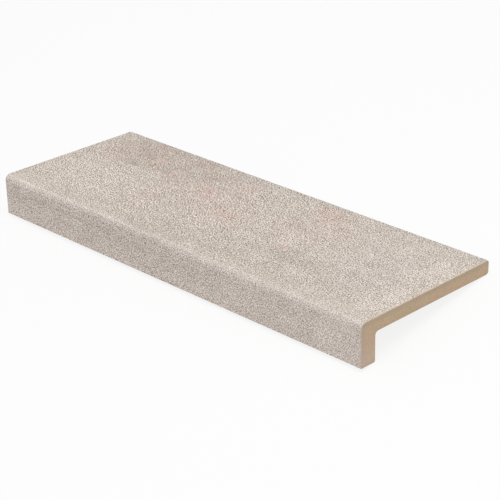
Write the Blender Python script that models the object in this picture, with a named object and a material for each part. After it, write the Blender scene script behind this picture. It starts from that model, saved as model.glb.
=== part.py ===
"""Stair tread tile: one pressed stoneware piece with an L-shaped section, its nose turned down at the front.

The section is drawn in the tile's own frame: x runs along the step, y from the nose's front face to the back edge,
and z up from the nose's foot. The finished tile is then tipped back onto the two lower edges that carry it when it
lies on a floor, and centred over the origin.
"""

import math

import bmesh
import bpy
from mathutils import Matrix, Vector

# Overall sizes, in metres
LENGTH = 0.680
TREAD_DEPTH = 0.240
TREAD_THICKNESS = 0.020
NOSE_HEIGHT = 0.060
NOSE_THICKNESS = 0.026

# Radii of the section's six corners, and of the eased edge round each end
NOSE_EDGE_RADIUS = 0.009
BACK_UPPER_RADIUS = 0.004
BACK_LOWER_RADIUS = 0.005
INNER_FILLET_RADIUS = 0.005
FOOT_INNER_RADIUS = 0.0025
FOOT_OUTER_RADIUS = 0.0025
END_ARRIS = 0.0012
END_ARRIS_SEGMENTS = 3
LONGEST_FLAT = 0.0014

# The shallow recesses pressed into the bedding face, which key it to the mortar
RECESS_SIDE = 0.030
RECESS_RIB = 0.008
RECESS_DEPTH = 0.0008
RECESS_MARGIN = 0.012
RECESS_CORNER = 0.004
RECESS_CORNER_SEGMENTS = 2
RECESS_DRAFT = math.radians(50)
CUTTER_OVERRUN = 0.001

# Colours of the printed face and of the bare clay body, with their roughness
FACE_COLOUR = (0.60, 0.54, 0.48, 1.0)
FACE_ROUGHNESS = 0.75
BODY_COLOUR = (0.53, 0.40, 0.28, 1.0)
BODY_ROUGHNESS = 0.85

BEDDING_HEIGHT = NOSE_HEIGHT - TREAD_THICKNESS


def clear_scene():
    for old in list(bpy.data.objects):
        bpy.data.objects.remove(old, do_unlink=True)


def stoneware(name, colour, roughness):
    """A plain matt finish for one kind of surface."""
    material = bpy.data.materials.new(name)
    material.use_nodes = True
    shader = material.node_tree.nodes["Principled BSDF"]
    shader.inputs["Base Color"].default_value = colour
    shader.inputs["Roughness"].default_value = roughness
    shader.inputs["Metallic"].default_value = 0.0
    return material


def object_from(name, bm):
    """A scene object that takes over the bmesh."""
    mesh = bpy.data.meshes.new(name)
    bm.to_mesh(mesh)
    bm.free()
    made = bpy.data.objects.new(name, mesh)
    bpy.context.scene.collection.objects.link(made)
    return made


def round_corner(bm, corner, radius, segments):
    bmesh.ops.bevel(
        bm,
        geom=[corner],
        offset=radius,
        offset_type="OFFSET",
        segments=segments,
        profile=0.5,
        affect="VERTICES",
        clamp_overlap=True,
    )


def section_corners():
    """Each corner of the section as (y, z, radius), going round from the nose's front foot."""
    return [
        (0.0, 0.0, FOOT_OUTER_RADIUS),
        (NOSE_THICKNESS, 0.0, FOOT_INNER_RADIUS),
        (NOSE_THICKNESS, BEDDING_HEIGHT, INNER_FILLET_RADIUS),
        (TREAD_DEPTH, BEDDING_HEIGHT, BACK_LOWER_RADIUS),
        (TREAD_DEPTH, NOSE_HEIGHT, BACK_UPPER_RADIUS),
        (0.0, NOSE_HEIGHT, NOSE_EDGE_RADIUS),
    ]


def pressed_blank():
    """The L-shaped section with its rounded corners, drawn out along the step, with an eased edge round each end."""
    bm = bmesh.new()
    corners = section_corners()
    points = [bm.verts.new((-LENGTH / 2, y, z)) for y, z, _ in corners]
    bm.faces.new(points)
    for point, (_, _, radius) in zip(points, corners):
        quarter_turn = radius * math.pi / 2
        round_corner(bm, point, radius, math.ceil(quarter_turn / LONGEST_FLAT) + 1)

    drawn = bmesh.ops.extrude_face_region(bm, geom=list(bm.faces))
    moved = [part for part in drawn["geom"] if isinstance(part, bmesh.types.BMVert)]
    bmesh.ops.translate(bm, vec=(LENGTH, 0.0, 0.0), verts=moved)
    bmesh.ops.recalc_face_normals(bm, faces=list(bm.faces))

    ends = [face for face in bm.faces if abs(face.normal.x) > 0.9]
    bmesh.ops.bevel(
        bm,
        geom=list({edge for face in ends for edge in face.edges}),
        offset=END_ARRIS,
        offset_type="OFFSET",
        segments=END_ARRIS_SEGMENTS,
        profile=0.5,
        affect="EDGES",
        clamp_overlap=True,
    )
    return bm


def recess_cutter():
    """One recess as a low block with rounded corners and sloping sides, standing on the bedding plane."""
    bm = bmesh.new()
    half = RECESS_SIDE / 2
    points = [bm.verts.new((x, y, 0.0)) for x, y in ((-half, -half), (half, -half), (half, half), (-half, half))]
    bm.faces.new(points)
    for point in points:
        round_corner(bm, point, RECESS_CORNER, RECESS_CORNER_SEGMENTS)
    height = RECESS_DEPTH + CUTTER_OVERRUN
    inset = height / math.tan(RECESS_DRAFT)
    raised = bmesh.ops.extrude_face_region(bm, geom=list(bm.faces))
    top = [part for part in raised["geom"] if isinstance(part, bmesh.types.BMVert)]
    bmesh.ops.translate(bm, vec=(0.0, 0.0, height), verts=top)
    narrowed = 1.0 - inset / half
    bmesh.ops.scale(bm, vec=(narrowed, narrowed, 1.0), verts=top)
    bmesh.ops.recalc_face_normals(bm, faces=list(bm.faces))
    return bm


def row_of_recesses(low, high):
    """Centres of the recesses that fit between two limits, evenly spaced with the outer ones against the margin."""
    start = low + RECESS_MARGIN + RECESS_SIDE / 2
    stop = high - RECESS_MARGIN - RECESS_SIDE / 2
    gaps = max(math.floor((stop - start) / (RECESS_SIDE + RECESS_RIB)), 1)
    return [start + (stop - start) * place / gaps for place in range(gaps + 1)]


def keying_cutter():
    """Every recess of the bedding face in one cutter, sunk a little below the face so that it cuts cleanly."""
    bm = bmesh.new()
    single = recess_cutter()
    pattern = bpy.data.meshes.new("recess")
    single.to_mesh(pattern)
    single.free()
    along = row_of_recesses(-LENGTH / 2, LENGTH / 2)
    across = row_of_recesses(NOSE_THICKNESS, TREAD_DEPTH)
    for x in along:
        for y in across:
            before = set(bm.verts)
            bm.from_mesh(pattern)
            fresh = [point for point in bm.verts if point not in before]
            bmesh.ops.translate(bm, vec=(x, y, BEDDING_HEIGHT - CUTTER_OVERRUN), verts=fresh)
    bpy.data.meshes.remove(pattern)
    cutter = object_from("keying_cutter", bm)
    cutter.hide_render = True
    cutter.display_type = "WIRE"
    return cutter


def rest_tilt():
    """The angle that the tread slopes back by when the nose's inner foot and the lower back edge share one floor."""
    run = (TREAD_DEPTH - BACK_LOWER_RADIUS) - (NOSE_THICKNESS - FOOT_INNER_RADIUS)
    rise = (BEDDING_HEIGHT + BACK_LOWER_RADIUS) - FOOT_INNER_RADIUS
    between_centres = math.hypot(run, rise)
    return math.atan2(rise, run) - math.asin((BACK_LOWER_RADIUS - FOOT_INNER_RADIUS) / between_centres)


def finish_faces(tile):
    """The print covers the tread's face, the nose's front and the rounding between them, and the rest is bare clay."""
    tile.data.materials.append(stoneware("clay_body", BODY_COLOUR, BODY_ROUGHNESS))
    tile.data.materials.append(stoneware("printed_face", FACE_COLOUR, FACE_ROUGHNESS))
    for face in tile.data.polygons:
        looks_out = face.normal.z > 0.5 or face.normal.y < -0.5
        face.material_index = 1 if looks_out else 0
    tile.data.shade_smooth()
    tile.data.set_sharp_from_angle(angle=math.radians(30))


def stair_tread_tile():
    tile = object_from("stair_tread_tile", pressed_blank())
    finish_faces(tile)

    keying = tile.modifiers.new("keying", "BOOLEAN")
    keying.operation = "DIFFERENCE"
    keying.solver = "EXACT"
    keying.object = keying_cutter()
    keying.object.parent = tile

    tilt = Matrix.Rotation(-rest_tilt(), 3, "X")
    lying = [tilt @ point.co for point in tile.data.vertices]
    low = Vector(min(point[axis] for point in lying) for axis in range(3))
    high = Vector(max(point[axis] for point in lying) for axis in range(3))
    tile.rotation_euler = tilt.to_euler()
    tile.location = (-(low.x + high.x) / 2, -(low.y + high.y) / 2, -low.z)
    return tile


clear_scene()
stair_tread_tile()
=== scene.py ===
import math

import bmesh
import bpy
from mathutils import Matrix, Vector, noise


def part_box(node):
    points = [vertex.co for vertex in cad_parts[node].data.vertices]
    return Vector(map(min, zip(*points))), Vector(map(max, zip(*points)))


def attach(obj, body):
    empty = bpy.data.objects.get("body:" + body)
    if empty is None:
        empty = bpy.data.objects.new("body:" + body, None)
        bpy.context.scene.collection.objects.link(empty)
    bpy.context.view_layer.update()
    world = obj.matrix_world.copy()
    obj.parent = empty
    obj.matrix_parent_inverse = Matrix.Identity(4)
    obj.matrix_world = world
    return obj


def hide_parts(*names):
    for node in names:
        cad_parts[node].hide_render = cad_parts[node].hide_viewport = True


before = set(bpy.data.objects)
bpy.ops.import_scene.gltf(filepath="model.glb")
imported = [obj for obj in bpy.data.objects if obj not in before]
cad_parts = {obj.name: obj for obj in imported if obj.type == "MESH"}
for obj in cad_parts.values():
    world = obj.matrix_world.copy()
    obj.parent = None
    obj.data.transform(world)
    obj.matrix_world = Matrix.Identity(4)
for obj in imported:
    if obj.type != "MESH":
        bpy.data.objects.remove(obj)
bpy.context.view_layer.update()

# %% [markdown]
# # A stair tread tile
# This tile covers the front of one step: a flat tread to walk on, and a nose that turns down over the edge.
# It is pressed from stoneware clay in one piece. A stone look is printed on the tread and on the nose's front, and
# the tile is fired once. The ends show the bare clay.
#
# The solid from the library gives the form and the place. This lesson makes a finer copy of it, finishes it as the
# real tile is finished, and sets up a camera and a soft light.

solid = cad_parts["stair_tread_tile"]
low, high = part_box("stair_tread_tile")
print("solid, mm:", [round(side * 1000, 1) for side in high - low])

# %% [markdown]
# ## How the tile lies
# Off its step the tile can't lie with a level tread. It tips back onto its nose's inner foot and its lower back edge.
# The lean could be typed in as a number. It is read from the solid instead, whose largest face is half of the tread:
# the direction that this face looks in gives the lean, so the finish follows if the solid changes.

# %% Reading the lean
tread = max(solid.data.polygons, key=lambda face: face.area)
lean = math.atan2(tread.normal.y, tread.normal.z)
leaning = Matrix.Rotation(-lean, 4, "X")
print("lean, degrees:", round(math.degrees(lean), 2))

# %% [markdown]
# ## Sizes
# All sizes are those of the solid. The tile is drawn in its own frame, with the tread level: x runs along the step,
# y from the nose's front to the back edge, and z up from the nose's foot. It is leaned back when it is finished.

# %% Sizes of the tile, in metres
LENGTH = 0.680
TREAD_DEPTH = 0.240
TREAD_THICKNESS = 0.020
NOSE_HEIGHT = 0.060
NOSE_THICKNESS = 0.026
BEDDING_HEIGHT = NOSE_HEIGHT - TREAD_THICKNESS
NOSE_EDGE_RADIUS = 0.009
FOOT_RADIUS = 0.0025
BEDDING_RADIUS = 0.005
BACK_RADIUS = 0.004
END_ARRIS = 0.0012

# Each corner of the section as depth, height and radius, going round from the nose's front foot
CORNERS = (
    (0.0, 0.0, FOOT_RADIUS),
    (NOSE_THICKNESS, 0.0, FOOT_RADIUS),
    (NOSE_THICKNESS, BEDDING_HEIGHT, BEDDING_RADIUS),
    (TREAD_DEPTH, BEDDING_HEIGHT, BEDDING_RADIUS),
    (TREAD_DEPTH, NOSE_HEIGHT, BACK_RADIUS),
    (0.0, NOSE_HEIGHT, NOSE_EDGE_RADIUS),
)
CLAY, PRINT = 0, 1
print("outer size, mm:", [round(side * 1000) for side in (LENGTH, TREAD_DEPTH, NOSE_HEIGHT)])

# %% [markdown]
# ## The blank
# Wet clay is pushed through a die or pressed in a mould, and either way the section is the same all along the tile.
# So the section comes first, as one face with six corners. Each corner is rounded by a vertex bevel with the radius
# that it has on the tile, then the face is drawn out along the step in one extrusion. A loft or a stack of boxes
# would need joining, and a drawn-out section is smooth by itself.

# %% Drawing and extruding the section
FEWEST_STEPS = 5
STEP_OF_RADIUS = 0.0006


def rounded_section():
    section = bmesh.new()
    points = [section.verts.new((-LENGTH / 2, depth, height)) for depth, height, _ in CORNERS]
    section.faces.new(points)
    for point, (_, _, radius) in zip(points, CORNERS):
        bmesh.ops.bevel(
            section, geom=[point], offset=radius, offset_type="OFFSET",
            segments=FEWEST_STEPS + round(radius / STEP_OF_RADIUS),
            profile=0.5, affect="VERTICES", material=-1, clamp_overlap=True,
        )
    return section


blank = rounded_section()
print("points round the section:", len(blank.verts))
drawn = bmesh.ops.extrude_face_region(blank, geom=list(blank.faces))
far_end = [part for part in drawn["geom"] if isinstance(part, bmesh.types.BMVert)]
bmesh.ops.translate(blank, vec=(LENGTH, 0.0, 0.0), verts=far_end)
bmesh.ops.recalc_face_normals(blank, faces=list(blank.faces))

# %% [markdown]
# ## The arris
# A sharp rim would chip, so both ends are eased by about a millimetre. An edge bevel along the two rims does this in
# one step, because the section's rounded corners are already part of the rim. Faces that look up or forward take the
# print, and all others stay bare clay.

# %% Easing both ends
ENDWAYS = 0.9
UP_OR_FORWARD = 0.5
ARRIS_STEPS = 4
ends = [face for face in blank.faces if abs(face.normal.x) > ENDWAYS]
bmesh.ops.bevel(
    blank, geom=list({edge for face in ends for edge in face.edges}), offset=END_ARRIS, offset_type="OFFSET",
    segments=ARRIS_STEPS, profile=0.5, affect="EDGES", material=-1, clamp_overlap=True,
)
for face in blank.faces:
    faces_out = face.normal.z > UP_OR_FORWARD or -face.normal.y > UP_OR_FORWARD
    face.material_index = PRINT if faces_out else CLAY
print("faces with print on them:", sum(face.material_index == PRINT for face in blank.faces))

# %% [markdown]
# ## The keyed underside
# Tiles for outdoor steps have a relief pressed into the bedding face, so that the mortar grips. Here it is a field of
# shallow square pockets with rounded corners and sloping sides. They could be inset into the face one by one, but the
# rounded corners come out cleaner from a cutter: one pocket is modelled, copied into a grid, and cut away with a
# Boolean.

# %% One pocket
POCKET_SIDE = 0.030
POCKET_CORNER = 0.004
POCKET_CORNER_STEPS = 4
POCKET_RIB = 0.008
POCKET_DEPTH = 0.0008
POCKET_MARGIN = 0.012
POCKET_SLOPE = math.radians(50)
OVERRUN = 0.001
print("pocket, mm wide and deep:", round(POCKET_SIDE * 1000), round(POCKET_DEPTH * 1000, 1))


def pocket_mesh():
    pocket = bmesh.new()
    bmesh.ops.create_grid(pocket, x_segments=1, y_segments=1, size=POCKET_SIDE / 2)
    bmesh.ops.bevel(
        pocket, geom=list(pocket.verts), offset=POCKET_CORNER, offset_type="OFFSET",
        segments=POCKET_CORNER_STEPS, profile=0.5, affect="VERTICES", material=-1, clamp_overlap=True,
    )
    rise = POCKET_DEPTH + OVERRUN
    raised = bmesh.ops.extrude_face_region(pocket, geom=list(pocket.faces))
    roof = [part for part in raised["geom"] if isinstance(part, bmesh.types.BMVert)]
    narrower = 1.0 - 2 * rise / math.tan(POCKET_SLOPE) / POCKET_SIDE
    bmesh.ops.translate(pocket, vec=(0.0, 0.0, rise), verts=roof)
    bmesh.ops.scale(pocket, vec=(narrower, narrower, 1.0), verts=roof)
    bmesh.ops.recalc_face_normals(pocket, faces=list(pocket.faces))
    mesh = bpy.data.meshes.new("pocket")
    pocket.to_mesh(mesh)
    pocket.free()
    return mesh


# %% The grid of pockets
def pocket_centres(start, stop):
    first = start + POCKET_MARGIN + POCKET_SIDE / 2
    last = stop - POCKET_MARGIN - POCKET_SIDE / 2
    gaps = math.floor((last - first) / (POCKET_SIDE + POCKET_RIB))
    return [first + (last - first) * place / gaps for place in range(gaps + 1)]


pockets = bmesh.new()
pattern = pocket_mesh()
for along in pocket_centres(-LENGTH / 2, LENGTH / 2):
    for deep in pocket_centres(NOSE_THICKNESS, TREAD_DEPTH):
        before = set(pockets.verts)
        pockets.from_mesh(pattern)
        fresh = [point for point in pockets.verts if point not in before]
        bmesh.ops.translate(pockets, vec=(along, deep, BEDDING_HEIGHT - OVERRUN), verts=fresh)
print("pockets:", len(pockets.verts) // len(pattern.vertices))


# %% Cutting the pockets
def scene_object(name, mesh_source):
    mesh = bpy.data.meshes.new(name)
    mesh_source.to_mesh(mesh)
    mesh_source.free()
    made = bpy.data.objects.new(name, mesh)
    bpy.context.scene.collection.objects.link(made)
    return made


tile = scene_object("stoneware_tile", blank)
cutter = scene_object("pocket_cutter", pockets)
cut = tile.modifiers.new("keying", "BOOLEAN")
cut.operation = "DIFFERENCE"
cut.solver = "EXACT"
cut.object = cutter
pressed = bpy.data.meshes.new_from_object(tile.evaluated_get(bpy.context.evaluated_depsgraph_get()))
tile.modifiers.clear()
bpy.data.objects.remove(cutter)
print("faces after the cut:", len(pressed.polygons))

# %% [markdown]
# ## A face that isn't quite flat
# The printed face is pressed against a mould with a faint natural relief. To carry it, the face needs many small
# squares. Cutting the long edges first and then the cross edges gives an even grid, and leaves the clay faces as they
# are. A Subdivision Surface would divide the hidden faces too.

# %% Dividing the printed face into small squares
GRID = 0.0027
NEARLY_ALL = 0.7
STRAIGHT = 0.99
body = bmesh.new()
body.from_mesh(pressed)


def edges_along(axis, longer_than):
    chosen = []
    for edge in body.edges:
        run = edge.verts[1].co - edge.verts[0].co
        by_print = any(face.material_index == PRINT for face in edge.link_faces)
        if by_print and abs(run[axis]) > longer_than and abs(run[axis]) > STRAIGHT * run.length:
            chosen.append(edge)
    return chosen


for axis, size in enumerate((LENGTH, TREAD_DEPTH, NOSE_HEIGHT)):
    bmesh.ops.subdivide_edges(
        body, edges=edges_along(axis, NEARLY_ALL * size), cuts=round(size / GRID), use_grid_fill=True,
    )
print("faces in the grid:", len(body.faces))

# %% [markdown]
# ## Faint relief
# Each point of the printed face sinks by up to a fifth of a millimetre, following two sizes of noise: wide swells and
# small dents. Points only sink, so the tile keeps its outer size, and they keep their place along the step, so the
# ends stay flat: a point whose normal runs mostly along the step doesn't move at all. The fine grain is left to the
# material, because it is smaller than the grid.

# %% Sinking the points
RELIEF = 0.00018
SWELLS_PER_METRE = 28.0
DENTS_PER_METRE = 150.0
DENTS_START = Vector((7.0, 3.0, 5.0))
SWELL_SHARE, DENT_SHARE = 0.45, 0.4
LOOKS_ENDWAYS = 0.3
printed_points = {point for face in body.faces if face.material_index == PRINT for point in face.verts}
deepest = 0.0
for point in printed_points:
    inward = -Vector((0.0, point.normal.y, point.normal.z))
    if inward.length < LOOKS_ENDWAYS:
        continue
    swell = noise.noise(point.co * SWELLS_PER_METRE)
    dent = noise.noise(point.co * DENTS_PER_METRE + DENTS_START)
    sink = RELIEF * min(max(0.5 + SWELL_SHARE * swell + DENT_SHARE * dent, 0.0), 1.0)
    deepest = max(deepest, sink)
    point.co += inward.normalized() * sink
print("deepest dent, mm:", round(deepest * 1000, 3))

# %% [markdown]
# ## Laying the tile down
# The finished piece is leaned back and moved onto the solid's place. The place goes into the mesh, so that the object
# itself stays at the origin, and the shift is kept: the finishes need it to find their way round the tile. Its finer
# arcs stand a few hundredths of a millimetre outside the solid's facets, so it is scaled by that trifle into the
# solid's box.

# %% Leaning and placing
SHARP = math.radians(32)


def reach(points):
    lowest = Vector(min(point.co[axis] for point in points) for axis in range(3))
    highest = Vector(max(point.co[axis] for point in points) for axis in range(3))
    return lowest, highest


body.transform(leaning)
corner_low, corner_high = reach(body.verts)
middle = (corner_low + corner_high) / 2
shift = Vector((-middle.x, (low.y + high.y) / 2 - middle.y, low.z - corner_low.z))
body.transform(Matrix.Translation(shift))
trifle = [min(1.0, (high - low)[axis] / (corner_high - corner_low)[axis]) for axis in range(3)]
body.transform(Matrix.Diagonal((*trifle, 1.0)))
corner_low, corner_high = reach(body.verts)
body.to_mesh(tile.data)
body.free()
tile.data.shade_smooth()
tile.data.set_sharp_from_angle(angle=SHARP)
beside = zip(corner_high - corner_low, high - low)
print("size less the solid's, mm:", [round(1000 * (side - solid_side), 3) for side, solid_side in beside])

# %% [markdown]
# ## Nodes in few words
# The finishes are built from nodes. They could be wired by hand in the editor, but a script says what each one is for.
# A few small helpers keep that short: one adds a node and fills its inputs, and the others do a sum, a product, the
# distance from a value, a soft step between two values, a colour multiplied by another one, and a tone. In stone and
# in clay the darker places are warmer, so a tone isn't the same for red, green and blue.


# %% A node and its inputs
def put(tree, kind, inputs=(), **options):
    node = tree.nodes.new(kind)
    for option, choice in options.items():
        setattr(node, option, choice)
    for name, value in dict(inputs).items():
        if isinstance(value, bpy.types.NodeSocket):
            tree.links.new(value, node.inputs[name])
        else:
            node.inputs[name].default_value = value
    return node


# %% Sums and products
def sum_of(tree, operation, first, second=0.0):
    return put(tree, "ShaderNodeMath", {0: first, 1: second}, operation=operation).outputs[0]


def product(tree, first, *others):
    for other in others:
        first = sum_of(tree, "MULTIPLY", first, other)
    return first


def distance(tree, value, target):
    return sum_of(tree, "ABSOLUTE", sum_of(tree, "SUBTRACT", value, target))


def soft_step(tree, value, start, stop, bottom=0.0, top=1.0):
    """Turns start into bottom and stop into top, with a soft run between them and level beyond them."""
    inputs = {"Value": value, "From Min": start, "From Max": stop, "To Min": bottom, "To Max": top}
    return put(tree, "ShaderNodeMapRange", inputs, interpolation_type="SMOOTHSTEP").outputs["Result"]


def vector_sum(tree, operation, first, second=(0.0, 0.0, 0.0)):
    return put(tree, "ShaderNodeVectorMath", {0: first, 1: second}, operation=operation).outputs


# %% Tints and tones
SWING_OF_COLOURS = (0.93, 1.0, 1.08)


def tinted(tree, colour, factor, amount=1.0):
    mix = {0: amount, 6: colour, 7: factor}
    return put(tree, "ShaderNodeMix", mix, data_type="RGBA", blend_type="MULTIPLY").outputs[2]


def warm_tone(tree, swing):
    """A factor round 1 from a swing round 0, which turns darker places a little warmer and paler ones greyer."""
    inputs = {0: swing, 1: SWING_OF_COLOURS, 2: (1.0, 1.0, 1.0)}
    return put(tree, "ShaderNodeVectorMath", inputs, operation="MULTIPLY_ADD").outputs["Vector"]


# %% Making a group, and using one
NUMBER, POINT, COLOUR = "NodeSocketFloat", "NodeSocketVector", "NodeSocketColor"


def use(tree, group, inputs=()):
    return put(tree, "ShaderNodeGroup", inputs, node_tree=group).outputs


def new_group(name, takes, gives):
    tree = bpy.data.node_groups.new(name, "ShaderNodeTree")
    for label, kind, value in takes:
        socket = tree.interface.new_socket(label, in_out="INPUT", socket_type=kind)
        if value is not None:
            socket.default_value = value
    for label, kind in gives:
        tree.interface.new_socket(label, in_out="OUTPUT", socket_type=kind)
    return tree, tree.nodes.new("NodeGroupInput").outputs, tree.nodes.new("NodeGroupOutput").inputs


# %% [markdown]
# ## Where am I on the tile?
# Every pattern has to know where it is on the tile: how far along it, how deep from the nose's front and how high
# above the foot. Object coordinates give the place on the leaning tile, and a Mapping node turns it level again. A UV
# map could do it too, but the clay's patterns run right through the body, and Object coordinates have that depth.
#
# The print runs over the nose without a break, so its patches and its grain are placed on the unrolled face: depth
# counts up from the nose's edge on the tread, and down from it on the front. Both finishes need a place, so it is a
# group.

# %% The group tile_place
tile_place, _, place_out = new_group(
    "tile_place", [],
    [("Place", POINT), ("Print", POINT), ("Along", NUMBER), ("Deep", NUMBER), ("High", NUMBER), ("From End", NUMBER)],
)
level = put(tile_place, "ShaderNodeMapping", {
    "Vector": put(tile_place, "ShaderNodeTexCoord").outputs["Object"],
    "Rotation": (lean, 0.0, 0.0),
    "Location": -(leaning.inverted().to_3x3() @ shift),
}).outputs["Vector"]
apart = put(tile_place, "ShaderNodeSeparateXYZ", {"Vector": level}).outputs
drop = sum_of(tile_place, "SUBTRACT", NOSE_HEIGHT, apart["Z"])
unrolled = put(tile_place, "ShaderNodeCombineXYZ", {
    "X": apart["X"], "Y": sum_of(tile_place, "SUBTRACT", apart["Y"], drop),
})
from_end = sum_of(tile_place, "SUBTRACT", LENGTH / 2, sum_of(tile_place, "ABSOLUTE", apart["X"]))
for label, source in (
    ("Place", level), ("Print", unrolled.outputs["Vector"]), ("Along", apart["X"]), ("Deep", apart["Y"]),
    ("High", apart["Z"]), ("From End", from_end),
):
    tile_place.links.new(source, place_out[label])
print("tile_place nodes:", len(tile_place.nodes))

# %% [markdown]
# ## Mineral grain
# Seen close, the print is salt and pepper: hard grains of about a millimetre, in softer specks that are two or three
# grains wide. Voronoi cells with a random tone each make the grains, because a grain has one tone and a hard edge. From
# a few steps away they are too small to see one by one, and the specks are what stays. So these come from a noise of a
# single octave: it has no finer part that would blur to grey, and no wider one that would look like clouds. It is
# turned, so that its rows don't run along the tile's edges. The clay body has the same grain, only fainter, so this is
# a group too. Tone is a factor to multiply a colour by, and Height says how far a grain stands up.

# %% The group mineral_grain
# Under a third of the cells are dark grains and half of them are pale, and the rest lie between the two tones
GRAIN_BORDER, GRAIN_TONES = (0.28, 0.48), (-0.62, 0.38)
SPECK_BORDER, SPECK_TONES = (0.25, 0.75), (-0.70, 0.62)
ASKEW = (0.0, 0.0, math.radians(27))
mineral_grain, grain_in, grain_out = new_group(
    "mineral_grain",
    [
        ("Place", POINT, None), ("Grain Size", NUMBER, 0.001), ("Grain Contrast", NUMBER, 0.2),
        ("Specks per Metre", NUMBER, 580.0), ("Speck Contrast", NUMBER, 0.5),
    ],
    [("Tone", COLOUR), ("Height", NUMBER)],
)
density = sum_of(mineral_grain, "DIVIDE", 1.0, grain_in["Grain Size"])
cells = put(mineral_grain, "ShaderNodeTexVoronoi", {"Vector": grain_in["Place"], "Scale": density}, feature="F1")
cell_tone = put(mineral_grain, "ShaderNodeSeparateColor", {"Color": cells.outputs["Color"]}).outputs["Red"]
cell_tone = soft_step(mineral_grain, cell_tone, *GRAIN_BORDER, *GRAIN_TONES)
askew = put(mineral_grain, "ShaderNodeMapping", {"Vector": grain_in["Place"], "Rotation": ASKEW}).outputs["Vector"]
specks = put(mineral_grain, "ShaderNodeTexNoise", {
    "Vector": askew, "Scale": grain_in["Specks per Metre"], "Detail": 0.0,
}).outputs["Fac"]
speck_tone = soft_step(mineral_grain, specks, *SPECK_BORDER, *SPECK_TONES)
from_grains = product(mineral_grain, cell_tone, grain_in["Grain Contrast"])
from_specks = product(mineral_grain, speck_tone, grain_in["Speck Contrast"])
both = sum_of(mineral_grain, "ADD", from_grains, from_specks)
mineral_grain.links.new(warm_tone(mineral_grain, both), grain_out["Tone"])
mineral_grain.links.new(sum_of(mineral_grain, "ADD", cell_tone, speck_tone), grain_out["Height"])
print("mineral_grain nodes:", len(mineral_grain.nodes))

# %% [markdown]
# ## Cloudy tone
# Stone is never even: soft clouds, from one to a few centimetres wide, make it a little lighter or darker. One noise
# with some detail does this, as a factor round 1. Stone lies in beds, so the clouds can be drawn out along the step.

# %% The group cloudy_tone
cloudy_tone, cloud_in, cloud_out = new_group(
    "cloudy_tone",
    [
        ("Place", POINT, None), ("Clouds per Metre", NUMBER, 30.0), ("Strength", NUMBER, 0.1),
        ("Squeeze", POINT, (1.0, 1.0, 1.0)),
    ],
    [("Tone", COLOUR), ("Cloud", NUMBER)],
)
cloud = put(cloudy_tone, "ShaderNodeTexNoise", {
    "Vector": vector_sum(cloudy_tone, "MULTIPLY", cloud_in["Place"], cloud_in["Squeeze"])["Vector"],
    "Scale": cloud_in["Clouds per Metre"], "Detail": 3.0, "Roughness": 0.6,
}).outputs["Fac"]
swing = product(cloudy_tone, sum_of(cloudy_tone, "SUBTRACT", cloud, 0.5), cloud_in["Strength"])
cloudy_tone.links.new(warm_tone(cloudy_tone, swing), cloud_out["Tone"])
cloudy_tone.links.new(cloud, cloud_out["Cloud"])
print("cloudy_tone nodes:", len(cloudy_tone.nodes))

# %% [markdown]
# ## Soft stains
# The print has a few washed-out patches of iron red and brown, as a sandstone has. Noise alone would put them
# anywhere, and here their places are known, so each one is an oval with a centre, a turn and a reach. Core is the
# share of the reach that has the full tone: a small core makes a blur, and a large one a patch with a border.

# %% The group soft_stain
soft_stain, stain_in, stain_out = new_group(
    "soft_stain",
    [
        ("Place", POINT, None), ("Centre", POINT, None), ("Turn", POINT, None), ("Reach", POINT, (0.05, 0.03, 1.0)),
        ("Core", NUMBER, 0.2),
    ],
    [("Mask", NUMBER)],
)
oval = put(soft_stain, "ShaderNodeMapping", {
    "Vector": stain_in["Place"], "Location": stain_in["Centre"], "Rotation": stain_in["Turn"],
    "Scale": stain_in["Reach"],
}, vector_type="TEXTURE").outputs["Vector"]
off_centre = vector_sum(soft_stain, "LENGTH", oval)["Value"]
soft_stain.links.new(soft_step(soft_stain, off_centre, 1.0, stain_in["Core"]), stain_out["Mask"])
print("soft_stain nodes:", len(soft_stain.nodes))

# %% [markdown]
# ## The printed stone
# A warm, pale grey. Broad pale and brown zones lie under red, rose and grey patches, and clouds and grain cover
# everything. Each kind of patch is a colour to multiply by, with a list of ovals on the unrolled face. An oval has a
# centre, a turn in degrees, half its length and half its width, and a strength. Its centre is measured from the left
# end and from the nose's edge, and a negative depth is on the nose's front.

# %% Colours of the print
STONE = (0.612, 0.542, 0.479, 1.0)
SHADE = (0.835, 0.835, 0.820, 1.0)
PALE = (1.090, 1.095, 1.090, 1.0)
BLUSH = (1.012, 0.972, 0.960, 1.0)
RED = (1.010, 0.920, 0.912, 1.0)
LILAC = (0.990, 0.990, 1.005, 1.0)
CREAM = (1.050, 1.000, 0.930, 1.0)
print("stone:", STONE[:3])

# %% Where the broad zones lie
SHADES = (
    ((0.138, 0.203), 0, (0.145, 0.066), 0.75),
    ((0.255, 0.218), 0, (0.080, 0.030), 0.4),
    ((0.205, 0.195), -20, (0.060, 0.045), 0.6),
    ((0.105, 0.160), 0, (0.040, 0.014), 0.9),
    ((0.300, 0.025), 0, (0.075, 0.035), 0.55),
    ((0.410, 0.045), 0, (0.060, 0.040), 0.5),
    ((0.500, 0.078), 5, (0.080, 0.024), 0.8),
    ((0.585, 0.055), 0, (0.045, 0.022), 0.5),
    ((0.500, 0.030), 0, (0.080, 0.035), 0.45),
    ((0.080, -0.017), 0, (0.042, 0.008), 0.9),
    ((0.228, -0.014), 0, (0.022, 0.010), 0.7),
    ((0.280, -0.020), 0, (0.200, 0.030), 0.3),
)
PALES = (
    ((0.100, 0.085), 0, (0.165, 0.078), 1.0),
    ((0.045, 0.006), 0, (0.080, 0.024), 1.0),
    ((0.662, 0.060), 90, (0.070, 0.030), 1.0),
    ((0.655, 0.165), 90, (0.080, 0.060), 0.8),
    ((0.640, -0.030), 0, (0.060, 0.040), 0.5),
)
print("brown zones:", len(SHADES), "pale zones:", len(PALES))

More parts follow.
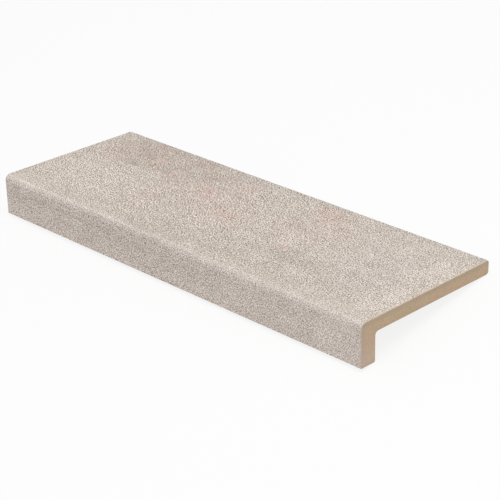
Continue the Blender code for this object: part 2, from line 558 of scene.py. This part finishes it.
# %% Where the coloured patches lie
BLUSHES = (
    ((0.100, 0.195), 0, (0.130, 0.065), 0.9),
    ((0.275, 0.150), -25, (0.170, 0.085), 1.0),
    ((0.450, 0.165), -20, (0.085, 0.095), 0.7),
    ((0.210, 0.050), -30, (0.070, 0.045), 0.6),
)
REDS = (
    ((0.093, 0.224), 0, (0.024, 0.017), 1.0),
    ((0.120, 0.188), -35, (0.042, 0.027), 1.0),
    ((0.058, 0.198), 0, (0.028, 0.018), 0.8),
    ((0.188, 0.217), 0, (0.026, 0.017), 1.0),
    ((0.050, 0.163), -20, (0.042, 0.021), 0.8),
    ((0.180, 0.157), -30, (0.036, 0.019), 0.9),
    ((0.205, 0.100), -50, (0.052, 0.022), 0.7),
    ((0.270, 0.148), -55, (0.046, 0.023), 1.0),
    ((0.298, 0.196), 0, (0.030, 0.024), 0.8),
    ((0.332, 0.112), -10, (0.036, 0.019), 0.9),
    ((0.440, 0.203), -40, (0.048, 0.023), 1.0),
    ((0.490, 0.170), -35, (0.042, 0.023), 0.6),
    ((0.467, 0.093), 0, (0.026, 0.017), 1.0),
)
LILACS = (((0.595, 0.110), 0, (0.090, 0.115), 1.0),)
print("rose, red and grey patches:", len(BLUSHES), len(REDS), len(LILACS))


# %% Joining the patches of one kind
def stains(tree, place, spots, core):
    total = None
    for (along, deep), turn, (length, width), strength in spots:
        spot = use(tree, soft_stain, {
            "Place": place, "Centre": (along - LENGTH / 2, deep, 0.0),
            "Turn": (0.0, 0.0, math.radians(turn)), "Reach": (length, width, 1.0), "Core": core,
        })["Mask"]
        spot = product(tree, spot, strength)
        total = spot if total is None else sum_of(tree, "MAXIMUM", total, spot)
    return total


# %% A new finish, and what its grain does to the surface
GRAIN_HEIGHTS = (-0.8, 0.6)


def new_material(name):
    material = bpy.data.materials.new(name)
    material.use_nodes = True
    return material, material.node_tree, material.node_tree.nodes["Principled BSDF"]


def raise_grain(tree, shader, height, roughness, bump):
    """Lifts the pale grains off the surface, and makes them a little smoother than the dark ones."""
    tree.links.new(soft_step(tree, height, *GRAIN_HEIGHTS, *roughness), shader.inputs["Roughness"])
    surface = put(tree, "ShaderNodeBump", {"Height": height, **bump})
    tree.links.new(surface.outputs["Normal"], shader.inputs["Normal"])


# %% [markdown]
# ## Patches without outlines
# A noise bends the place before the ovals are drawn on it, so that no oval shows. A second, finer one breaks them up:
# the brown zones keep at least half of their tone everywhere, and the red ones go down to a third. A painted image
# would fix every outline too, but it would blur close by and weigh more.

# %% The finish printed_stone
BENDS_PER_METRE, BEND_DETAIL, BEND_REACH = 45.0, 4.0, (0.05, 0.036, 0.0)
SPOTS_PER_METRE, SPOT_BORDER = 75.0, (0.38, 0.60)

# Each kind of patch with its colour, its core and the least share of its tone
PATCHES = (
    (PALES, PALE, 0.1, 1.0),
    (SHADES, SHADE, 0.5, 0.5),
    (LILACS, LILAC, 0.2, 1.0),
    (BLUSHES, BLUSH, 0.4, 0.7),
    (REDS, RED, 0.3, 0.3),
)
printed_stone, tree, shader = new_material("printed_stone")
where = use(tree, tile_place)
bend = put(tree, "ShaderNodeTexNoise", {
    "Vector": where["Print"], "Scale": BENDS_PER_METRE, "Detail": BEND_DETAIL,
})
bend = vector_sum(tree, "SUBTRACT", bend.outputs["Color"], (0.5, 0.5, 0.5))["Vector"]
bend = vector_sum(tree, "MULTIPLY", bend, BEND_REACH)["Vector"]
bent = vector_sum(tree, "ADD", where["Print"], bend)["Vector"]
spotty = use(tree, cloudy_tone, {"Place": where["Place"], "Clouds per Metre": SPOTS_PER_METRE})["Cloud"]
colour = STONE
for spots, factor, core, least in PATCHES:
    share = soft_step(tree, spotty, *SPOT_BORDER, least, 1.0)
    colour = tinted(tree, colour, factor, product(tree, stains(tree, bent, spots, core), share))
print("printed_stone nodes so far:", len(tree.nodes))

# %% [markdown]
# ## The rubbed edge and its painted highlight
# The rounded edge of the nose catches hands, feet and packing, so its grain is worn soft. Its ridge is also painted a
# shade paler than the rest: a painted highlight on the rounding. The ridge could be a loop of edges with a mask of its
# own, but it doesn't follow the mesh. It is found by distance from a line in the upper part of the rounding. A slow
# noise makes the band wider here and narrower there.

# %% How far from the ridge
RIDGE_TURN = math.radians(31)
SLOW_PER_METRE = 70.0
# The slow noise, from 0.3 to 0.7, becomes a factor from 0.5 to 1.5, and a shift of up to about a millimetre
WANDER = (0.3, 0.7, 0.5, 1.5)
WAVER = 0.006
ridge_deep = NOSE_EDGE_RADIUS - NOSE_EDGE_RADIUS * math.sin(RIDGE_TURN)
ridge_high = NOSE_HEIGHT - NOSE_EDGE_RADIUS + NOSE_EDGE_RADIUS * math.cos(RIDGE_TURN)
off_ridge = put(tree, "ShaderNodeCombineXYZ", {
    "Y": sum_of(tree, "SUBTRACT", where["Deep"], ridge_deep),
    "Z": sum_of(tree, "SUBTRACT", where["High"], ridge_high),
}).outputs["Vector"]
off_ridge = vector_sum(tree, "LENGTH", off_ridge)["Value"]
slow = use(tree, cloudy_tone, {"Place": where["Place"], "Clouds per Metre": SLOW_PER_METRE})["Cloud"]
wander = soft_step(tree, slow, *WANDER)
waver = product(tree, sum_of(tree, "SUBTRACT", slow, 0.5), WAVER)
ridge_reach = product(tree, off_ridge, wander)
print("ridge, mm deep and high:", round(ridge_deep * 1000, 1), round(ridge_high * 1000, 1))

# %% [markdown]
# ## Clouds and grain
# Clouds lie over the whole print, a little weaker on the front. The grain comes next. Rubbing and the press wear it:
# it is fainter on the ridge and the front, towards the right end, and close to the rims, where a hard grain would make
# the printed edge look like a saw. One even grain would be simpler, but it looks like sandpaper. Each wear is a span
# of distance, in metres, and the share of grain at its two ends. The shares multiply, so a place that is worn twice is
# worn more.

# %% Clouds over the print
FRONT_FADE = (0.0, 0.05)
CLOUD_STRENGTH = (0.34, 0.44)
clouds = use(tree, cloudy_tone, {
    "Place": where["Place"], "Clouds per Metre": 50.0, "Squeeze": (0.6, 1.0, 1.0),
    "Strength": soft_step(tree, where["Deep"], *FRONT_FADE, *CLOUD_STRENGTH),
})["Tone"]
colour = tinted(tree, colour, clouds)
print("cloud strength on the front and on the tread:", CLOUD_STRENGTH)

# %% Grain over the print
RIDGE_WEAR = (0.0010, 0.0055, 0.8, 1.0)
FRONT_WEAR = (*FRONT_FADE, 0.74, 1.0)
RIGHT_WEAR = (-0.10, 0.30, 1.0, 0.76)
RIM_WEAR = (0.0004, 0.0035, 0.35, 1.0)
grain = use(tree, mineral_grain, {
    "Place": where["Print"], "Grain Size": 0.00105, "Grain Contrast": 0.64, "Speck Contrast": 0.93,
})
from_back = sum_of(tree, "SUBTRACT", TREAD_DEPTH, where["Deep"])
off_rim = sum_of(tree, "MINIMUM", where["From End"], from_back)
unworn = product(
    tree, soft_step(tree, ridge_reach, *RIDGE_WEAR), soft_step(tree, where["Deep"], *FRONT_WEAR),
    soft_step(tree, where["Along"], *RIGHT_WEAR), soft_step(tree, off_rim, *RIM_WEAR),
)
colour = tinted(tree, colour, grain["Tone"], unworn)
print("share of grain left on the right of the front:", round(FRONT_WEAR[2] * RIGHT_WEAR[3], 2))

# %% A painted highlight on the ridge, and a pale low band
# At the left end, a second pale band lies lower on the rounding
RIDGE_HIGHLIGHT = (1.065, 1.075, 1.090, 1.0)
LOW_BAND_TINT = (1.095, 1.10, 1.105, 1.0)
RIDGE_HIGHLIGHT_SPAN = (0.0045, 0.0008)
LOW_BAND_HIGH = NOSE_HEIGHT - 0.0065
LOW_BAND_SPAN = (0.0021, 0.0004)
LOW_BAND_ALONG = (-0.19, -0.23)
# Painted highlight: the ridge of the rounding is made paler
colour = tinted(tree, colour, RIDGE_HIGHLIGHT, soft_step(tree, ridge_reach, *RIDGE_HIGHLIGHT_SPAN))
low_band = product(
    tree, soft_step(tree, distance(tree, where["High"], LOW_BAND_HIGH), *LOW_BAND_SPAN),
    soft_step(tree, where["Along"], *LOW_BAND_ALONG),
)
colour = tinted(tree, colour, LOW_BAND_TINT, low_band)
print("low band, mm high:", round(LOW_BAND_HIGH * 1000, 1))

# %% [markdown]
# ## Lines and ends
# A thin bright line runs along the middle of the ridge, on the left half of the tile most of all: a painted highlight.
# A faint darker line runs along the nose's front, level with the underside of the tread. It is about three millimetres
# wide, and twice as strong near the left end. The same slow noise makes both of them waver. Towards the back edge the
# print is painted a little darker, as painted shade on the edge that turns away from the light, and the nose's front is
# painted a little paler, as painted light. At the right end the print thins out over the arris and lets a warm cream
# through. Curves laid on the tile would stand off it, so all of these are masks, made from a distance and a soft step.

# %% The painted highlight line
# Painted highlight: a thin bright line along the middle of the ridge
GLINT_LINE = (1.32, 1.33, 1.34, 1.0)
GLINT_WIDTH = (0.0009, 0.0002)
GLINT_ALONG = (0.05, -0.15, 0.25, 1.0)
GLINT_BREAKS = (0.44, 0.52, 0.3, 1.0)
off_glint = sum_of(tree, "SUBTRACT", sum_of(tree, "ADD", where["Deep"], where["High"]), ridge_deep + ridge_high)
off_glint = sum_of(tree, "ABSOLUTE", sum_of(tree, "ADD", off_glint, waver))
painted_glint = product(
    tree, soft_step(tree, off_glint, *GLINT_WIDTH), soft_step(tree, where["Along"], *GLINT_ALONG),
    soft_step(tree, slow, *GLINT_BREAKS),
)
colour = tinted(tree, colour, GLINT_LINE, painted_glint)
print("scuff line, mm wide at most:", round(2000 * GLINT_WIDTH[0], 1))

# %% The line on the front
FRONT_LINE = (0.905, 0.912, 0.920, 1.0)
LINE_HIGH = BEDDING_HEIGHT - 0.0005
LINE_WIDTH = (0.0026, 0.0004)
LINE_DEEP = (0.004, 0.002)
LINE_ALONG = (-0.08, -0.20, 0.5, 1.0)
off_line = sum_of(tree, "ADD", sum_of(tree, "SUBTRACT", where["High"], LINE_HIGH), waver)
off_line = sum_of(tree, "ABSOLUTE", off_line)
front_line = product(
    tree, soft_step(tree, off_line, *LINE_WIDTH), soft_step(tree, where["Deep"], *LINE_DEEP),
    soft_step(tree, where["Along"], *LINE_ALONG),
)
colour = tinted(tree, colour, FRONT_LINE, front_line)
print("line on the front, mm high:", round(LINE_HIGH * 1000, 1))

# %% Painted shade at the back, and painted light on the front
# Painted shade: the print is made darker towards the back edge, which turns away from the light
BACK_SHADE, BACK_SHADE_SPAN = (0.955, 0.965, 0.975, 1.0), (TREAD_DEPTH - 0.025, TREAD_DEPTH - 0.002)
# Painted light: the nose's front is made a little paler
FRONT_LIGHT, FRONT_LIGHT_SPAN = (1.035, 1.028, 1.042, 1.0), (0.007, 0.001)
for tone, span in ((BACK_SHADE, BACK_SHADE_SPAN), (FRONT_LIGHT, FRONT_LIGHT_SPAN)):
    colour = tinted(tree, colour, tone, soft_step(tree, where["Deep"], *span))
    print("tone", tone[:3], "from", round(1000 * span[0]), "to", round(1000 * span[1]), "mm deep")

# %% The right end
THIN_SPAN, THIN_ALONG = (0.0040, 0.0010), (-0.3, 0.3, 0.15, 1.0)
WORN_FRONT, WORN_DEEP = (0.920, 0.925, 0.925, 1.0), (0.006, 0.001)
PRINT_ROUGHNESS, PRINT_BUMP = (0.80, 0.66), {"Strength": 0.35, "Distance": 0.0003}
thin_print = product(
    tree, soft_step(tree, product(tree, where["From End"], wander), *THIN_SPAN),
    soft_step(tree, where["Along"], *THIN_ALONG),
)
colour = tinted(tree, colour, CREAM, thin_print)
colour = tinted(tree, colour, WORN_FRONT, product(tree, thin_print, soft_step(tree, where["Deep"], *WORN_DEEP)))
tree.links.new(colour, shader.inputs["Base Color"])
raise_grain(tree, shader, grain["Height"], PRINT_ROUGHNESS, PRINT_BUMP)
print("printed_stone nodes:", len(tree.nodes))

# %% [markdown]
# ## The bare clay
# The fired body is tan, with a faint grain and soft patches of pink and olive. Just under the print it is darker.
# Towards the foot it is painted paler and rosier: painted light, for the light that the white floor throws back onto
# the lower part. One tan colour would look like plastic, and a second set of nodes isn't needed: it is made with the
# same groups as the print, at its own values.

# %% The finish bare_clay
TAN = (0.548, 0.405, 0.266, 1.0)
PINK, PINK_BORDER = (1.030, 0.965, 0.990, 1.0), (0.48, 0.62)
OLIVE, OLIVE_BORDER = (0.965, 1.010, 0.960, 1.0), (0.50, 0.38)
CLAY_ROUGHNESS, CLAY_BUMP = (0.92, 0.80), {"Strength": 0.2, "Distance": 0.0002}
bare_clay, tree, shader = new_material("bare_clay")
where = use(tree, tile_place)
clouds = use(tree, cloudy_tone, {"Place": where["Place"], "Clouds per Metre": 110.0, "Strength": 0.16})["Tone"]
grain = use(tree, mineral_grain, {
    "Place": where["Place"], "Grain Size": 0.0009, "Grain Contrast": 0.08, "Speck Contrast": 0.08,
})
hue = use(tree, cloudy_tone, {"Place": where["Place"], "Clouds per Metre": 55.0})["Cloud"]
colour = tinted(tree, TAN, PINK, soft_step(tree, hue, *PINK_BORDER))
colour = tinted(tree, colour, OLIVE, soft_step(tree, hue, *OLIVE_BORDER))
for tone in (clouds, grain["Tone"]):
    colour = tinted(tree, colour, tone)
raise_grain(tree, shader, grain["Height"], CLAY_ROUGHNESS, CLAY_BUMP)
print("bare_clay nodes so far:", len(tree.nodes))

# %% How the clay changes from place to place
# Darker just under the print
UNDER_PRINT_DARK, UNDER_PRINT_SPAN = (0.87, 0.905, 0.965, 1.0), (NOSE_HEIGHT - 0.011, NOSE_HEIGHT - 0.003)
# Painted light: towards the foot the clay is made paler, for the light that the floor throws back
FOOT_BOUNCE_LIGHT, FOOT_BOUNCE_SPAN = (1.085, 1.14, 1.27, 1.0), (BEDDING_HEIGHT + 0.002, 0.004)
FRONT_CLAY, FRONT_CLAY_SPAN = (0.875, 0.955, 1.10, 1.0), (0.009, 0.0025)
for tone, measure, span in (
    (UNDER_PRINT_DARK, "High", UNDER_PRINT_SPAN), (FOOT_BOUNCE_LIGHT, "High", FOOT_BOUNCE_SPAN), (FRONT_CLAY, "Deep", FRONT_CLAY_SPAN),
):
    colour = tinted(tree, colour, tone, soft_step(tree, where[measure], *span))
    print("tone", tone[:3], "from", round(1000 * span[0], 1), "to", round(1000 * span[1], 1), "mm", measure.lower())

# %% [markdown]
# ## Kiln wash
# In the kiln the bedding face lies on a shelf that is dusted with white wash, so that the tile doesn't stick. The
# ribs pick some of it up, the pockets don't. So the wash is a pale mask on the lowest part of that face only, broken
# by the same clouds.

# %% The wash on the ribs
WASH, WASH_BREAKS = (1.22, 1.30, 1.48, 1.0), (0.40, 0.58)
RIB_SPAN = (BEDDING_HEIGHT + 0.0005, BEDDING_HEIGHT + 0.0001)
WASH_MARGIN, WASH_FADE = 0.002, 0.004
on_ribs = soft_step(tree, where["High"], *RIB_SPAN)
for inside, start in ((where["Deep"], NOSE_THICKNESS + WASH_MARGIN), (where["From End"], WASH_MARGIN)):
    on_ribs = product(tree, on_ribs, soft_step(tree, inside, start, start + WASH_FADE))
on_ribs = product(tree, on_ribs, soft_step(tree, hue, *WASH_BREAKS))
colour = tinted(tree, colour, WASH, on_ribs)
tree.links.new(colour, shader.inputs["Base Color"])
print("bare_clay nodes:", len(tree.nodes))

# %% [markdown]
# ## Putting the finishes on
# The mesh already knows which faces are printed. The tile takes the solid's place, and moves with it.

# %% Finishing the tile
for finish in (bare_clay, printed_stone):
    tile.data.materials.append(finish)
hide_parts("stair_tread_tile")
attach(tile, "root")
print("finishes:", [finish.name for finish in tile.data.materials])

# %% [markdown]
# ## Camera
# The picture shows the tile with a level tread, seen from the right and a little above, through a long lens. The
# tile lies here with its tread leaning, so the camera is placed in the tile's own frame and leaned back with it. Its
# place is measured from the left end of the nose's foot.

# %% Placing the camera
SENSOR_WIDTH, LENS = 36.0, 116.2
NEAREST = 0.05
CAMERA_PLACE = (1.7779 - LENGTH / 2, -1.2438, 0.9201)
TURNED, LOOKS_DOWN, ROLLED = math.radians(45.80), math.radians(24.746), math.radians(-1.298)
camera = bpy.data.objects.new("camera", bpy.data.cameras.new("camera"))
bpy.context.scene.collection.objects.link(camera)
camera.data.sensor_width = SENSOR_WIDTH
camera.data.lens = LENS
camera.data.clip_start = NEAREST
looking = Matrix.Rotation(TURNED, 4, "Z") @ Matrix.Rotation(math.pi / 2 - LOOKS_DOWN, 4, "X")
looking = looking @ Matrix.Rotation(ROLLED, 4, "Z")
camera.matrix_world = Matrix.Translation(shift) @ leaning @ Matrix.Translation(CAMERA_PLACE) @ looking
bpy.context.scene.camera = camera
print("camera at:", [round(part, 3) for part in camera.matrix_world.translation])

# %% [markdown]
# ## Floor
# A studio floor is a wide sheet of white paper. The light that it throws back onto the tile comes from an ordinary
# matt white. What the camera sees of it is mostly pure white, with a faint shadow left, so that the tile stands out
# as in a catalogue. Light Path tells the two apart, and stays in the material itself.


# %% Straight looks
def looked_at(tree):
    rays = put(tree, "ShaderNodeLightPath").outputs
    mirrored = sum_of(tree, "MAXIMUM", rays["Is Glossy Ray"], rays["Is Transmission Ray"])
    return sum_of(tree, "MAXIMUM", rays["Is Camera Ray"], mirrored)


# %% The floor
FLOOR_REACH = 6.0
MATT_WHITE, PURE_WHITE = (0.9, 0.9, 0.9, 1.0), (1.0, 1.0, 1.0, 1.0)
PAPER_ROUGHNESS = 0.9
SHOWN_WHITE = 0.85
floor_mesh = bmesh.new()
bmesh.ops.create_grid(floor_mesh, x_segments=1, y_segments=1, size=FLOOR_REACH)
floor = scene_object("floor", floor_mesh)
floor_finish, tree, shader = new_material("studio_floor")
shader.inputs["Base Color"].default_value = MATT_WHITE
shader.inputs["Roughness"].default_value = PAPER_ROUGHNESS
glow = put(tree, "ShaderNodeEmission", {"Color": PURE_WHITE, "Strength": 1.0}).outputs["Emission"]
whitened = put(tree, "ShaderNodeMixShader", {
    0: product(tree, looked_at(tree), SHOWN_WHITE), 1: shader.outputs["BSDF"], 2: glow,
})
tree.links.new(whitened.outputs["Shader"], tree.nodes["Material Output"].inputs["Surface"])
floor.data.materials.append(floor_finish)
print("floor, metres across:", 2 * FLOOR_REACH)

# %% [markdown]
# ## Light
# A white room lights the tile evenly from all sides, and one big soft lamp hangs over it, a little to the right.
# Together they give a level surface as much light as makes it show the colour that it was given. The nose's front
# and the end turn away from the lamp, so they are a fifth darker, which shows the form.

# %% The white room
ROOM_LIGHT = 0.62
bpy.context.scene.view_settings.view_transform = "Standard"
sky = bpy.data.worlds.new("studio")
bpy.context.scene.world = sky
sky.use_nodes = True
tree = sky.node_tree
strength = sum_of(tree, "ADD", ROOM_LIGHT, product(tree, looked_at(tree), 1.0 - ROOM_LIGHT))
background = tree.nodes["Background"]
background.inputs["Color"].default_value = PURE_WHITE
tree.links.new(strength, background.inputs["Strength"])
print("room's share of the light:", ROOM_LIGHT)

# %% The lamp
LAMP_PLACE = Vector((0.6, -0.1, 2.3))
LAMP_SIDE, LAMP_POWER = 1.4, 23.0
lamp = bpy.data.objects.new("overhead_lamp", bpy.data.lights.new("overhead_lamp", "AREA"))
bpy.context.scene.collection.objects.link(lamp)
lamp.data.shape = "SQUARE"
lamp.data.size = LAMP_SIDE
lamp.data.energy = LAMP_POWER
lamp.location = LAMP_PLACE
lamp.rotation_euler = LAMP_PLACE.to_track_quat("Z", "Y").to_euler()
print("lamp, metres above the floor:", round(LAMP_PLACE.z, 2))
